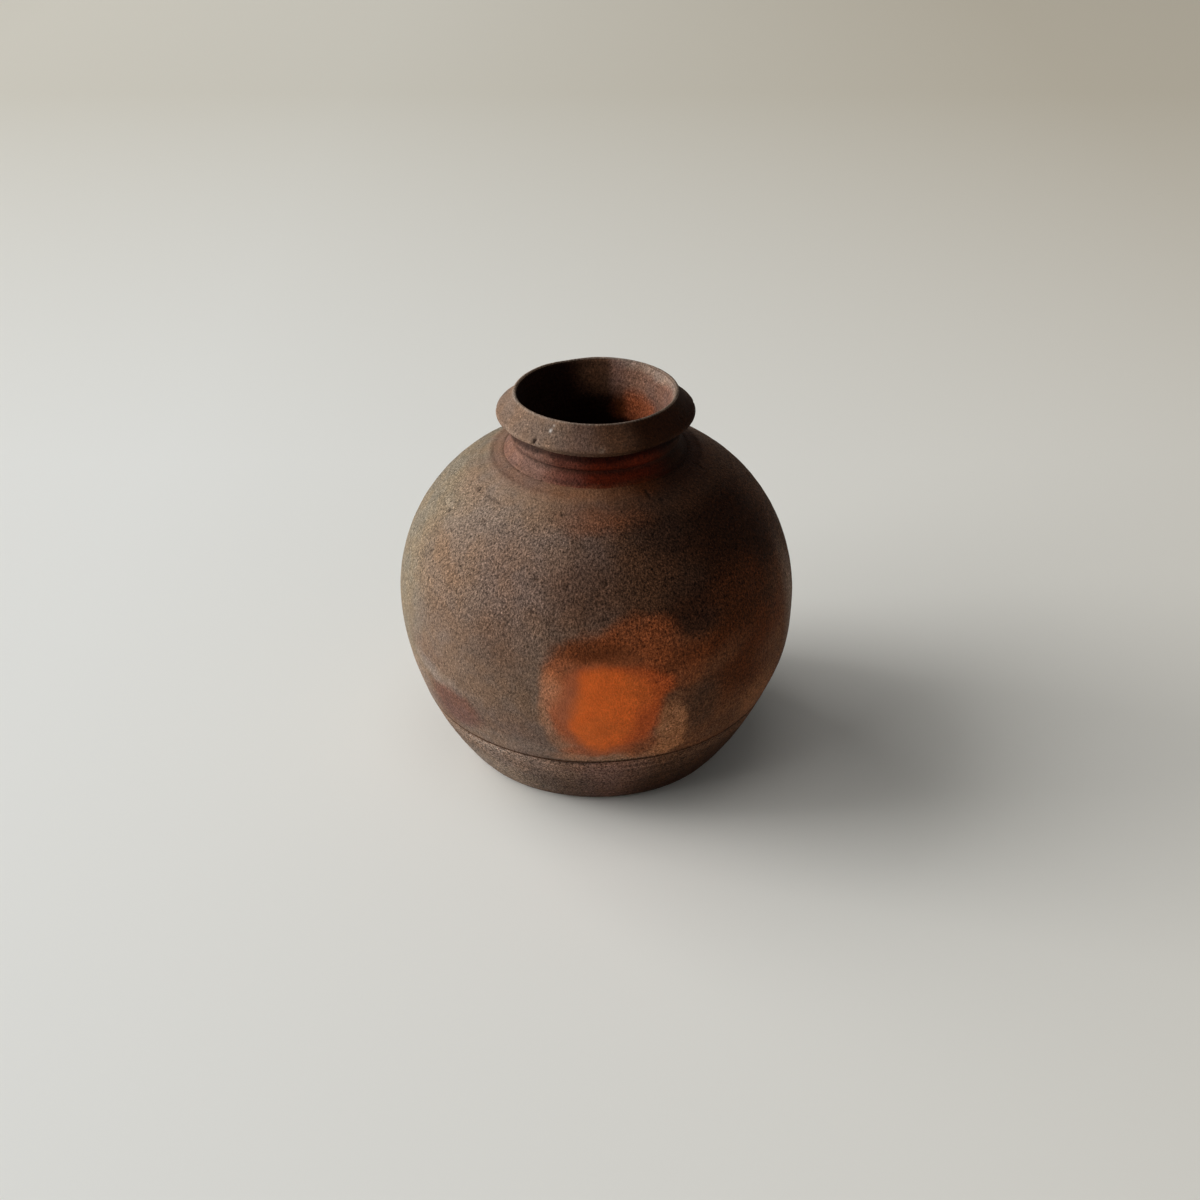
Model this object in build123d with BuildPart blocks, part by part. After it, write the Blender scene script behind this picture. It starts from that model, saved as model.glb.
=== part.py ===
from build123d import *
from math import sqrt
import os

# Small round jar of unglazed stoneware, in millimetres. The origin is at the centre
# of the foot on the table, and +Z is up. Every section is turned about Z.

# The outside of the pot: two arcs that meet upright at the widest point
belly_radius = 48.0
belly_height = 42.7
foot_radius = 33.3
shoulder_height = 78.4

# The wall, the floor and the hollow inside the foot's ring
wall = 4.2
floor_thickness = 5.0
floor_sweep = 8.0
foot_edge_round = 0.8
foot_ring_width = 9.3
hollow_depth = 1.2

# The line round the pot, where the foot and the body are joined
line_height = 18.6
line_cut = 0.35

# Neck: a flared collar, a groove and a raised ring, with a sleeve down into the body
bore_radius = 16.4
neck_wall = 3.1
collar_spread = 3.7
collar_height = 3.9
collar_hollow = 0.45
ring_swell = 1.0
ring_rise = 2.0
ring_fall = 1.9
undercut_step = 0.3
ledge_width = 1.8
sleeve_wall = 2.85
sleeve_depth = 3.6
sleeve_round = 1.1

# Rim: the flange with its rounded edge and hollow upper slope, and the thin lip
flange_reach = 3.5
flange_rise = 2.8
flange_edge = 0.9
flange_edge_fall = 0.55
flange_under_hollow = 0.35
slope_hollow = 0.25
lip_rise = 5.2
lip_thickness = 1.0
mouth_spread = 2.0
mouth_flare = 0.3

# The stepped joints: a tongue on the lower section, with a slip gap round it
tongue_width = 1.2
tongue_height = 1.5
slip_gap = 0.15

# Radii and heights that follow from these
groove_radius = bore_radius + neck_wall
ring_radius = groove_radius + ring_swell
undercut_radius = groove_radius + undercut_step
collar_radius = groove_radius + collar_spread
shoulder_radius = collar_radius + ledge_width
sleeve_radius = bore_radius + sleeve_wall
opening_radius = sleeve_radius + slip_gap
sleeve_foot = shoulder_height - sleeve_depth
groove_height = shoulder_height + collar_height
ring_height = groove_height + ring_rise
neck_height = ring_height + ring_fall
flange_radius = undercut_radius + flange_reach
flange_corner = flange_radius - flange_edge_fall
flange_height = neck_height + flange_rise
flange_low = flange_height - flange_edge
flange_high = flange_height + flange_edge
mouth_radius = bore_radius + mouth_spread
lip_middle = mouth_radius + lip_thickness / 2
lip_radius = mouth_radius + lip_thickness
lip_height = flange_height + lip_rise
lip_shoulder = lip_height - lip_thickness / 2
hollow_radius = foot_radius - foot_ring_width


def arc_radius(radius, height):
    """Radius of the arc that leaves the belly upright and ends at a radius and height."""
    inward = belly_radius - radius
    rise = height - belly_height
    return (inward**2 + rise**2) / (2 * inward)


foot_arc = arc_radius(foot_radius, 0)
shoulder_arc = arc_radius(shoulder_radius, shoulder_height)


def wall_radius(height, inset=0):
    """Radius of the wall at a height, measured inset deep from its outside."""
    arc = foot_arc if height < belly_height else shoulder_arc
    rise = height - belly_height
    return belly_radius - arc + sqrt((arc - inset) ** 2 - rise**2)


def wall_point(height, inset=0):
    return (wall_radius(height, inset), height)


def shoulder_at(radius, inset=0):
    """Height of the shoulder at a radius, measured inset deep from its outside."""
    reach = radius - belly_radius + shoulder_arc
    return belly_height + sqrt((shoulder_arc - inset) ** 2 - reach**2)


def wall_arc(start, end, inset=0):
    """The wall's line between two heights on one side of the belly."""
    middle = (start + end) / 2
    ThreePointArc(wall_point(start, inset), wall_point(middle, inset), wall_point(end, inset))


def corner(profile, point):
    """The profile's corner at a point."""
    return profile.vertices().sort_by_distance(point)[0]


# The hollow's roof is at the top of the shoulder's inner arc, or where the opening cuts it
roof_radius = max(belly_radius - shoulder_arc, opening_radius / 2)
roof_height = shoulder_at(roof_radius, wall)

# The tongue of each joint stands in the middle of the wall that it joins
foot_tongue_middle = (
    wall_radius(line_height + tongue_height / 2) + wall_radius(line_height + tongue_height / 2, wall)
) / 2
foot_tongue_inner = foot_tongue_middle - tongue_width / 2
foot_tongue_outer = foot_tongue_middle + tongue_width / 2
neck_tongue_middle = (bore_radius + undercut_radius) / 2
neck_tongue_inner = neck_tongue_middle - tongue_width / 2
neck_tongue_outer = neck_tongue_middle + tongue_width / 2

# Foot: the floor and the trimmed wall up to the line, with a tongue on top
with BuildPart() as foot:
    with BuildSketch(Plane.XZ) as foot_profile:
        with BuildLine():
            Polyline(
                (0, hollow_depth),
                (hollow_radius - hollow_depth, hollow_depth),
                (hollow_radius, 0),
                wall_point(0),
            )
            wall_arc(0, line_height)
            Polyline(
                wall_point(line_height),
                (foot_tongue_outer, line_height),
                (foot_tongue_outer, line_height + tongue_height),
                (foot_tongue_inner, line_height + tongue_height),
                (foot_tongue_inner, line_height),
                wall_point(line_height, wall),
            )
            wall_arc(line_height, floor_thickness, wall)
            Polyline(wall_point(floor_thickness, wall), (0, floor_thickness), (0, hollow_depth))
        make_face()
        chamfer(corner(foot_profile, wall_point(line_height)), line_cut)
        fillet(corner(foot_profile, wall_point(0)), foot_edge_round)
        fillet(corner(foot_profile, wall_point(floor_thickness, wall)), floor_sweep)
    revolve(axis=Axis.Z)

# Body: the globe from the line to the flat seat round the neck, hollowed, opened at
# the top and grooved for the foot's tongue
with BuildPart() as body:
    with BuildSketch(Plane.XZ) as body_profile:
        with BuildLine():
            wall_arc(line_height, belly_height)
            wall_arc(belly_height, shoulder_height)
            Polyline(
                wall_point(shoulder_height),
                (0, shoulder_height),
                (0, line_height),
                wall_point(line_height),
            )
        make_face()
        chamfer(corner(body_profile, wall_point(line_height)), line_cut)
    revolve(axis=Axis.Z)
    with BuildSketch(Plane.XZ):
        with BuildLine():
            wall_arc(line_height, belly_height, wall)
            wall_arc(belly_height, roof_height, wall)
            Polyline(
                wall_point(roof_height, wall),
                (0, roof_height),
                (0, line_height),
                wall_point(line_height, wall),
            )
        make_face()
    revolve(axis=Axis.Z, mode=Mode.SUBTRACT)
    with BuildSketch(Plane.XY.offset(shoulder_height)):
        Circle(opening_radius)
    extrude(amount=belly_height - shoulder_height, mode=Mode.SUBTRACT)
    with BuildSketch(Plane.XY.offset(line_height)):
        Circle(foot_tongue_outer + slip_gap)
        Circle(foot_tongue_inner - slip_gap, mode=Mode.SUBTRACT)
    extrude(amount=tongue_height + slip_gap, mode=Mode.SUBTRACT)

# Neck: stands on the body's seat, with a sleeve down through the opening
with BuildPart() as neck:
    with BuildSketch(Plane.XZ) as neck_profile:
        with BuildLine():
            SagittaArc((collar_radius, shoulder_height), (groove_radius, groove_height), collar_hollow)
            ThreePointArc(
                (groove_radius, groove_height),
                (ring_radius, ring_height),
                (undercut_radius, neck_height),
            )
            Polyline(
                (undercut_radius, neck_height),
                (neck_tongue_outer, neck_height),
                (neck_tongue_outer, neck_height + tongue_height),
                (neck_tongue_inner, neck_height + tongue_height),
                (neck_tongue_inner, neck_height),
                (bore_radius, neck_height),
                (bore_radius, sleeve_foot),
                (sleeve_radius, sleeve_foot),
                (sleeve_radius, shoulder_height),
                (collar_radius, shoulder_height),
            )
        make_face()
        fillet(corner(neck_profile, (bore_radius, sleeve_foot)), sleeve_round)
        fillet(corner(neck_profile, (sleeve_radius, sleeve_foot)), sleeve_round)
    revolve(axis=Axis.Z)

# Rim: the flange and the lip, seated on the neck over its tongue
with BuildPart() as rim:
    with BuildSketch(Plane.XZ):
        with BuildLine():
            SagittaArc((undercut_radius, neck_height), (flange_corner, flange_low), flange_under_hollow)
            ThreePointArc(
                (flange_corner, flange_low),
                (flange_radius, flange_height),
                (flange_corner, flange_high),
            )
            SagittaArc((flange_corner, flange_high), (lip_radius, lip_shoulder), slope_hollow)
            ThreePointArc(
                (lip_radius, lip_shoulder),
                (lip_middle, lip_height),
                (mouth_radius, lip_shoulder),
            )
            SagittaArc((mouth_radius, lip_shoulder), (bore_radius, neck_height), mouth_flare)
            Polyline(
                (bore_radius, neck_height),
                (neck_tongue_inner - slip_gap, neck_height),
                (neck_tongue_inner - slip_gap, neck_height + tongue_height + slip_gap),
                (neck_tongue_outer + slip_gap, neck_height + tongue_height + slip_gap),
                (neck_tongue_outer + slip_gap, neck_height),
                (undercut_radius, neck_height),
            )
        make_face()
    revolve(axis=Axis.Z)

foot.part.label = "foot"
body.part.label = "body"
neck.part.label = "neck"
rim.part.label = "rim"

os.makedirs("parts", exist_ok=True)
export_step(foot.part, "parts/foot.step")
export_step(body.part, "parts/body.step")
export_step(neck.part, "parts/neck.step")
export_step(rim.part, "parts/rim.step")
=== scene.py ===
"""Small round jar of wood-fired stoneware, built in four thrown sections round its CAD model."""

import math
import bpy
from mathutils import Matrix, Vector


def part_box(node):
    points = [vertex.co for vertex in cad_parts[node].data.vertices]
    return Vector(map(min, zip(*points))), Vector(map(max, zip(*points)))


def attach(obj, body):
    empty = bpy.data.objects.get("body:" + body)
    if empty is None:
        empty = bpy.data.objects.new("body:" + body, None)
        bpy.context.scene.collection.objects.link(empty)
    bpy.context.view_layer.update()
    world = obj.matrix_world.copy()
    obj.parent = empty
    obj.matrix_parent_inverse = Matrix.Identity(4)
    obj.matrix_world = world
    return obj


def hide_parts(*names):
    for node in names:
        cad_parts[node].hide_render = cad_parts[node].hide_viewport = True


bl_info = {
    "name": "Small wood-fired jar",
    "version": (1, 0, 0),
    "blender": (4, 5, 0),
    "location": "3D View > Sidebar > Jar",
    "description": "Builds a small round wood-fired jar in four thrown sections round its CAD model",
    "category": "Add Mesh",
}

import bpy
import numpy as np
from bpy.props import FloatProperty, FloatVectorProperty, IntProperty, PointerProperty
from mathutils import Vector

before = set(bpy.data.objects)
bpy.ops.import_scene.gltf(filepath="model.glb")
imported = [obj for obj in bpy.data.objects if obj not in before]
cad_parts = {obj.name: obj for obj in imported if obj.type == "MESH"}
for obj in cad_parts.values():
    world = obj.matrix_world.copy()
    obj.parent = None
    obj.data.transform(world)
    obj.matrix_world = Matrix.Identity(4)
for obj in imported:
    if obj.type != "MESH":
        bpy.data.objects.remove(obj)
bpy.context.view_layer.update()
body_low, body_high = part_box("body")
neck_low, neck_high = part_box("neck")
rim_low, rim_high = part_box("rim")

MM = 0.001
TINY = 1e-9
# What a stretch of a section's outline is: seen from outside, inside the jar, or hidden in a joint
OUTSIDE, INSIDE, JOINT = 0, 1, 2
JOINT_STEP = 0.8 * MM
SHARP_ANGLE = 50


def length(name, description, default):
    """A size of the jar."""
    return FloatProperty(name=name, description=description, default=default, unit="LENGTH")


def fired(name, description, *default):
    """A colour of the clay, as red, green and blue reflectance."""
    return FloatVectorProperty(name=name, description=description, default=default, subtype="COLOR")


class JarShape(bpy.types.PropertyGroup):
    """Sizes of the jar, in metres, measured on its outline"""

    belly_radius: length("Belly radius", "Radius at the widest point", body_high.y)
    belly_height: length("Belly height", "Height of the widest point", 42.7 * MM)
    foot_radius: length("Foot radius", "Radius where the wall meets the table", 33.3 * MM)
    seat_radius: length("Seat radius", "Radius of the flat seat round the neck", 25.0 * MM)
    seat_height: length("Seat height", "Height of the flat seat round the neck", body_high.z)
    line_height: length("Line height", "Height of the line round the foot", body_low.z)
    line_cut: length("Line cut", "Depth of the line round the foot", 0.35 * MM)
    wall: length("Wall", "Thickness of the wall", 4.2 * MM)
    floor: length("Floor", "Height of the floor inside", 5.0 * MM)
    sweep_rise: length("Sweep rise", "Height of the sweep from the floor up to the wall", 3.9 * MM)
    sweep_width: length("Sweep width", "Width of the sweep from the floor up to the wall", 6.2 * MM)
    sweep_hollow: length("Sweep hollow", "How far that sweep curves down and out", 1.0 * MM)
    hollow_radius: length("Hollow radius", "Radius of the hollow under the foot", 24.0 * MM)
    hollow_depth: length("Hollow depth", "Depth of the hollow under the foot", 1.2 * MM)
    foot_edge: length("Foot edge", "Radius of the rounded edge of the foot", 0.8 * MM)
    bore_radius: length("Bore radius", "Inner radius of the neck", 16.4 * MM)
    opening_radius: length("Opening radius", "Radius of the body's opening", 19.4 * MM)
    sleeve_round: length("Sleeve round", "Radius of the rounded lower edges of the sleeve", 1.1 * MM)
    collar_radius: length("Collar radius", "Radius at the foot of the collar", neck_high.y)
    collar_hollow: length("Collar hollow", "How far the side of the collar curves in", 0.45 * MM)
    groove_radius: length("Groove radius", "Radius in the groove above the collar", 19.5 * MM)
    groove_height: length("Groove height", "Height of the groove above the collar", 82.3 * MM)
    ring_swell: length("Ring swell", "How far the ring above the groove swells out", 0.85 * MM)
    undercut_radius: length("Undercut radius", "Radius below the flange", 19.8 * MM)
    undercut_hollow: length("Undercut hollow", "How far the flange curves in below its edge", 0.35 * MM)
    flange_height: length("Flange height", "Height of the flange's edge", 89.0 * MM)
    flange_edge: length("Flange edge", "Half the thickness of the flange's edge", 0.9 * MM)
    flange_round: length("Flange round", "How far the flange's edge swells out", 0.55 * MM)
    slope_hollow: length("Slope hollow", "How far the slope up to the lip curves in", 0.25 * MM)
    mouth_radius: length("Mouth radius", "Inner radius of the lip", 18.4 * MM)
    lip: length("Lip", "Thickness of the lip", 1.0 * MM)
    mouth_swell: length("Mouth swell", "How far the inside of the lip swells as it goes down", 0.3 * MM)
    tongue_width: length("Tongue width", "Width of the tongue of each joint", 1.2 * MM)
    tongue_height: length("Tongue height", "Height of the tongue of each joint", 1.5 * MM)
    slip_gap: length("Slip gap", "Gap round each tongue", 0.15 * MM)
    turns: IntProperty(name="Divisions", description="Divisions round the jar", default=560, min=48)


class FiredColours(bpy.types.PropertyGroup):
    """Colours of the clay, as plain reflectance: most the fire and the ash left on it, and some hold painted
    shade, painted shadow and a painted sheen
    """

    olive_ash: fired("Olive ash", "Thin ash on the fire side", 0.187, 0.150, 0.103)
    pale_ash: fired("Pale ash", "Whitish bloom of ash", 0.235, 0.182, 0.141)
    stone: fired("Stone grey", "Bare grey clay", 0.162, 0.107, 0.074)
    tan: fired("Tan", "Bare warm clay", 0.190, 0.121, 0.078)
    plum_grey: fired("Plum grey", "Grey clay with a purple cast", 0.152, 0.098, 0.072)
    grape: fired("Grape", "Darker purplish grey", 0.112, 0.064, 0.044)
    umber: fired("Umber", "Dark brown clay", 0.082, 0.039, 0.021)
    slate: fired("Slate", "Blue-grey smoke", 0.036, 0.018, 0.011)
    # Its near black is partly painted shade: it is laid on the right side, away from the lamps
    dark_plum: fired("Dark plum", "Nearly black clay on the shoulder and the neck", 0.024, 0.008, 0.003)
    # Partly painted shade: it is laid mostly on the right side, away from the lamps
    soot: fired("Soot", "Brown-black smoke", 0.037, 0.014, 0.007)
    # Painted shadow: laid inside on the left and deep down, where the inside is in shade
    char: fired("Char", "Nearly black clay inside", 0.012, 0.004, 0.002)
    russet: fired("Russet", "Warm brown clay of the lee side", 0.145, 0.060, 0.028)
    rust: fired("Rust", "Dull reddish flash", 0.086, 0.024, 0.007)
    ember: fired("Ember", "Brown-orange flash", 0.240, 0.066, 0.022)
    flame: fired("Flame", "The bright orange flash", 0.640, 0.130, 0.024)
    flame_red: fired("Flame red", "Edge of the bright flash", 0.430, 0.085, 0.021)
    halo: fired("Halo", "Pinkish ring round the flash", 0.370, 0.170, 0.090)
    sand: fired("Sand", "Yellow-tan patch beside the flash", 0.370, 0.160, 0.072)
    toast: fired("Toast", "Orange-brown clay round the neck", 0.205, 0.094, 0.046)
    glow: fired("Glow", "Light orange tan at the edge of the fire mark", 0.460, 0.170, 0.075)
    dusk: fired("Dusk", "Dark red band at the flash's edge", 0.345, 0.098, 0.040)
    # Painted sheen: a pale colour that stands in for light glancing off the clay at the jar's right-hand edge
    bloom: fired("Bloom", "Pinkish white bloom on the lee side", 0.200, 0.140, 0.105)
    blush: fired("Blush", "Dull maroon stain", 0.135, 0.068, 0.050)
    foot_pale: fired("Pale foot", "Trimmed foot, fire side", 0.178, 0.118, 0.086)
    neck_brown: fired("Neck brown", "Pinkish brown of the neck", 0.163, 0.087, 0.062)
    wine: fired("Wine", "Reddened clay of the neck", 0.112, 0.037, 0.025)
    dark_wine: fired("Dark wine", "Reddest clay of the neck", 0.088, 0.012, 0.004)
    bisque: fired("Bisque", "Pinkish clay inside the mouth", 0.185, 0.100, 0.068)
    grit: fired("Grit", "Grains of white stone", 0.560, 0.500, 0.430)
    pit: fired("Pit", "Shade in pits and cut lines", 0.022, 0.012, 0.008)


def spread(low, high, value):
    """0 below low, 1 above high and smooth between them."""
    t = np.clip((value - low) / (high - low), 0, 1)
    return t * t * (3 - 2 * t)


LATTICE = np.random.default_rng(11).uniform(-1, 1, (32, 32, 32))


def cloud(x, y, z, size, seed=0):
    """Smooth noise from -1 to 1 with lumps of this size."""
    point = np.stack(np.broadcast_arrays(x / size + 7.3 * seed, y / size + 3.1 * seed, z / size))
    cell = np.floor(point).astype(int)
    near = point - cell
    near = near * near * (3 - 2 * near)
    total = 0
    for corner in np.ndindex(2, 2, 2):
        share = 1
        for axis in range(3):
            share = share * (near[axis] if corner[axis] else 1 - near[axis])
        total = total + share * LATTICE[tuple((cell[axis] + corner[axis]) % 32 for axis in range(3))]
    return total


def bump_at(azimuth, middle, width):
    """1 at an azimuth and 0 away from it, closed round the jar, both in degrees."""
    return np.exp((np.cos(azimuth - math.radians(middle)) - 1) / math.radians(width) ** 2)


def band(value, middle, width):
    """1 at a middle value and 0 away from it."""
    return np.exp(-((value - middle) / width) ** 2)


class Outline:
    """Outline of a turned section, as points of radius and height with the clay on the left."""

    def __init__(self, radius, height):
        self.points = [(radius, height)]
        self.zones = []

    def to(self, radius, height, zone, step, bulge=0.0):
        """Goes on to a point, in steps, on a line or on an arc that bulges to the right."""
        start, end = np.array(self.points[-1]), np.array((radius, height))
        reach = np.linalg.norm(end - start)
        ahead = (end - start) / reach
        right = np.array((ahead[1], -ahead[0]))
        count = max(1, round(reach / step))
        if abs(bulge) > TINY:
            bend = (reach * reach / 4 + bulge * bulge) / (2 * bulge)
            half = math.asin(min(1, reach / 2 / abs(bend)))
            turn = np.linspace(-half, half, count + 1)[1:]
            along = abs(bend) * np.sin(turn) + reach / 2
            aside = bend * np.cos(turn) - bend + bulge
        else:
            along = np.linspace(0, reach, count + 1)[1:]
            aside = 0 * along
        self.points += [tuple(start + ahead * a + right * b) for a, b in zip(along, aside)]
        self.zones += [zone] * count

    def joint(self, first, last, low, high):
        """Goes up at one radius, across and down at another, over a tongue or through its groove."""
        self.to(first, high, JOINT, JOINT_STEP)
        self.to(last, high, JOINT, JOINT_STEP)
        self.to(last, low, JOINT, JOINT_STEP)


def wall_arcs(shape):
    """Centre radius and radius of the wall's arcs below and above the belly."""
    found = []
    for radius, height in ((shape.foot_radius, 0), (shape.seat_radius, shape.seat_height)):
        inward, rise = shape.belly_radius - radius, height - shape.belly_height
        arc = (inward * inward + rise * rise) / (2 * inward)
        found.append((shape.belly_radius - arc, arc))
    return found


def wall_radius(shape, height, inset=0.0):
    """Radius of the wall at a height, inset deep from its outside."""
    (low_centre, low), (high_centre, high) = wall_arcs(shape)
    rise = np.asarray(height) - shape.belly_height
    below = low_centre + np.sqrt(np.maximum((low - inset) ** 2 - rise * rise, 0))
    above = high_centre + np.sqrt(np.maximum((high - inset) ** 2 - rise * rise, 0))
    return np.where(rise < 0, below, above)


def wall_at(shape, height, inset=0.0):
    """Radius of the wall at one height, as a plain number."""
    return float(wall_radius(shape, height, inset))


def follow_wall(outline, shape, low, high, zone, step, inset=0.0):
    """Takes the outline along the wall between two heights on one side of the belly."""
    arc = wall_arcs(shape)[0 if min(low, high) < shape.belly_height - TINY else 1][1] - inset
    start = np.array((wall_at(shape, low, inset), low))
    end = np.array((wall_at(shape, high, inset), high))
    chord = np.linalg.norm(end - start)
    bulge = arc - math.sqrt(arc * arc - chord * chord / 4)
    outline.to(end[0], end[1], zone, step, -bulge if inset else bulge)


def foot_tongue(shape, gap=0.0):
    """Inner and outer radius of the tongue on the foot's wall, or of a groove with a gap round it."""
    height = shape.line_height + shape.tongue_height / 2
    middle = (wall_at(shape, height) + wall_at(shape, height, shape.wall)) / 2
    half = shape.tongue_width / 2 + gap
    return middle - half, middle + half


def neck_tongue(shape, gap=0.0):
    """Inner and outer radius of the tongue on the neck, or of a groove with a gap round it."""
    middle, half = (shape.bore_radius + shape.undercut_radius) / 2, shape.tongue_width / 2 + gap
    return middle - half, middle + half


def lip_base(shape):
    """Height where the lip's rounded top begins."""
    return rim_high.z - shape.lip / 2


class Surface:
    """Points of a turned section, azimuth down and outline across, and how deep each is pressed."""

    def __init__(self, outline, turns):
        points = np.array(outline.points)
        zones = np.array(outline.zones)
        self.closed = points[0][0] > TINY
        if self.closed:
            points = points[:-1]
        else:
            zones = np.append(zones, zones[-1])
        edges = np.roll(points, -1, 0) - points
        sides = np.stack((edges[:, 1], -edges[:, 0]), 1)
        sides /= np.maximum(np.linalg.norm(edges, axis=1), TINY)[:, None]
        if not self.closed:
            sides[-1] = sides[-2]
        outward = sides + np.roll(sides, 1, 0)
        if not self.closed:
            outward[0] = sides[0]
        outward /= np.linalg.norm(outward, axis=1)[:, None]
        joint = (zones == JOINT) | (np.roll(zones, 1) == JOINT)
        self.edge_zones = zones
        self.outside = (np.minimum(zones, np.roll(zones, 1)) == OUTSIDE) & ~joint
        self.inside = (zones == INSIDE) & ~joint
        self.azimuth = np.linspace(-math.pi, math.pi, turns, endpoint=False)[:, None]
        self.radius, self.height = points[None, :, 0], points[None, :, 1]
        self.out_radius, self.out_height = outward[None, :, 0], outward[None, :, 1]
        self.x = self.radius * np.sin(self.azimuth)
        self.y = -self.radius * np.cos(self.azimuth)
        self.z = self.height + 0 * self.azimuth
        self.depth = 0 * self.z
        self.masks = {}

    def press(self, depth, where=1.0):
        """Presses the clay in by a depth in millimetres, where it says."""
        self.depth = self.depth + depth * where * MM

    def lumps(self, size, seed=0):
        """Soft lumps from 0 to 1 of a size in millimetres."""
        return 0.5 + 0.5 * cloud(self.x / MM, self.y / MM, self.z / MM, size, seed)

    def rings(self, along, pitch, seed=2):
        """Turning rings from 0 to 1 that come and go, with a pitch in millimetres."""
        sway = 0.35 * pitch * cloud(self.x / MM, self.y / MM, self.z / MM, size=17.0, seed=5)
        swing = 3 * pitch
        sine, cosine = np.sin(self.azimuth), np.cos(self.azimuth)
        return 0.5 + 0.5 * cloud(swing * sine, swing * cosine, along / MM + sway, pitch, seed)

    def pits(self, places, size):
        """Small pits at places of azimuth in degrees and height in millimetres, from 0 to 1."""
        total = 0 * self.z
        for turn, rise in places:
            aside = self.azimuth - math.radians(turn)
            across = np.arcsin(np.sin(aside)) * self.radius / MM
            along = self.z / MM - rise
            total = total + (np.cos(aside) > 0) * np.exp(-(across * across + along * along) / (size * size))
        return np.minimum(total, 1)

    def mesh(self, name, materials):
        """Makes the pressed surface into a closed mesh object."""
        radius = self.radius - self.out_radius * self.depth
        height = self.z - self.out_height * self.depth
        grid = np.stack((radius * np.sin(self.azimuth), -radius * np.cos(self.azimuth), height), 2)
        turns, count = grid.shape[:2]
        index = np.arange(turns * count).reshape(turns, count)
        ahead = np.roll(index, -1, 0)
        rows = range(count) if self.closed else range(1, count - 2)
        faces, slots = [], []
        for row in rows:
            above = (row + 1) % count
            faces.append(np.stack((index[:, row], ahead[:, row], ahead[:, above], index[:, above]), 1))
            slots.append(np.full(turns, min(self.edge_zones[row], INSIDE)))
        quads, slots = np.concatenate(faces), np.concatenate(slots)
        corners = grid.reshape(-1, 3)
        masks = {key: np.broadcast_to(value, (turns, count)).ravel() for key, value in self.masks.items()}
        made = bpy.data.meshes.new(name)
        if self.closed:
            made.from_pydata(corners.tolist(), [], quads.tolist())
        else:
            # The first and last points lie on the axis, so each becomes one vertex with a fan of triangles
            used = index[:, 1:count - 1].ravel()
            renumber = np.full(turns * count, -1)
            renumber[used] = np.arange(used.size)
            poles = [[0, 0, grid[:, end, 2].mean()] for end in (0, -1)]
            last = count - 2
            faces = renumber[quads].tolist()
            for pole, one, other in ((0, ahead[:, 1], index[:, 1]), (1, index[:, last], ahead[:, last])):
                fan = (np.full(turns, used.size + pole), renumber[one], renumber[other])
                faces += np.stack(fan, 1).tolist()
            corners = np.concatenate((corners[used], poles))
            made.from_pydata(corners.tolist(), [], faces)
            fans = [np.full(turns, min(self.edge_zones[row], INSIDE)) for row in (0, -1)]
            slots = np.concatenate((slots, *fans))
            masks = {key: np.append(value[used], (0, 0)) for key, value in masks.items()}
        made.polygons.foreach_set("material_index", slots.astype(np.int32))
        made.polygons.foreach_set("use_smooth", np.ones(len(made.polygons), bool))
        made.set_sharp_from_angle(angle=math.radians(SHARP_ANGLE))
        for key, value in masks.items():
            held = made.attributes.new(key, "FLOAT", "POINT")
            held.data.foreach_set("value", np.ascontiguousarray(value, np.float32))
        for material in materials:
            made.materials.append(material)
        made.update()
        piece = bpy.data.objects.new(name, made)
        bpy.context.scene.collection.objects.link(piece)
        return piece


def place(piece, node, slot):
    """Hands a finished piece to the frame in place of its CAD node."""
    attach(piece, "root")
    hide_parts(node)


# The line round the foot is cut by hand. How far it lies from its height, in millimetres, and how it
# rises and falls: swing in millimetres, waves round the jar and phase
LINE_RISE = 0.62
LINE_WAVES = ((0.16, 2, 0.4), (0.10, 5, 1.0), (0.07, 9, 0.0))
# Where the wall is fuller than a true round: swell in millimetres, azimuth and width in degrees, and height
# and width in millimetres
SWELLS = ((0.75, 80, 34, 29, 8.5), (0.35, -75, 12, 43, 15), (0.60, 74, 12, 43, 15))


def settle_wall(surface, shape):
    """Lets the globe and the foot depart from a true round, and the line round the foot wander."""
    azimuth, line = surface.azimuth, shape.line_height
    ledge = wall_at(shape, line) - foot_tongue(shape)[1]
    skin_depth = wall_radius(shape, surface.height) - surface.radius
    skin = 1 - spread(shape.line_cut + 0.01 * MM, ledge, skin_depth)
    wander = LINE_RISE + sum(swing * np.sin(azimuth * waves + phase) for swing, waves, phase in LINE_WAVES)
    near = 1 - spread(0.8 * MM, 5 * MM, np.abs(surface.height - line))
    moved = surface.z + wander * near * skin * MM
    surface.radius = surface.radius + wall_radius(shape, moved) - wall_radius(shape, surface.z)
    surface.z = moved
    height = surface.height / MM
    uneven = 0.06 * surface.lumps(size=26.0, seed=1)
    for swell, side, side_width, middle, width in SWELLS:
        uneven = uneven - swell * bump_at(azimuth, side, side_width) * band(height, middle, width)
    ends = spread(0, 3, height) * (1 - spread(70, 78, height))
    reach = shape.belly_radius / np.maximum(np.abs(np.sin(azimuth)), np.abs(np.cos(azimuth)))
    widest = np.maximum(reach, surface.radius)
    surface.radius = np.minimum(surface.radius - uneven * ends * skin * MM, widest)


def seam_shade(surface, shape):
    """Dark in the line round the foot: the cut line's own dark with painted shade, weaker on the left, where
    the lamps light the line.
    """
    away = np.abs(surface.height - shape.line_height) / MM
    return (1 - spread(0.15, 0.55, away)) * (0.45 + 0.55 * spread(-1.1, -0.5, surface.azimuth))


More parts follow.
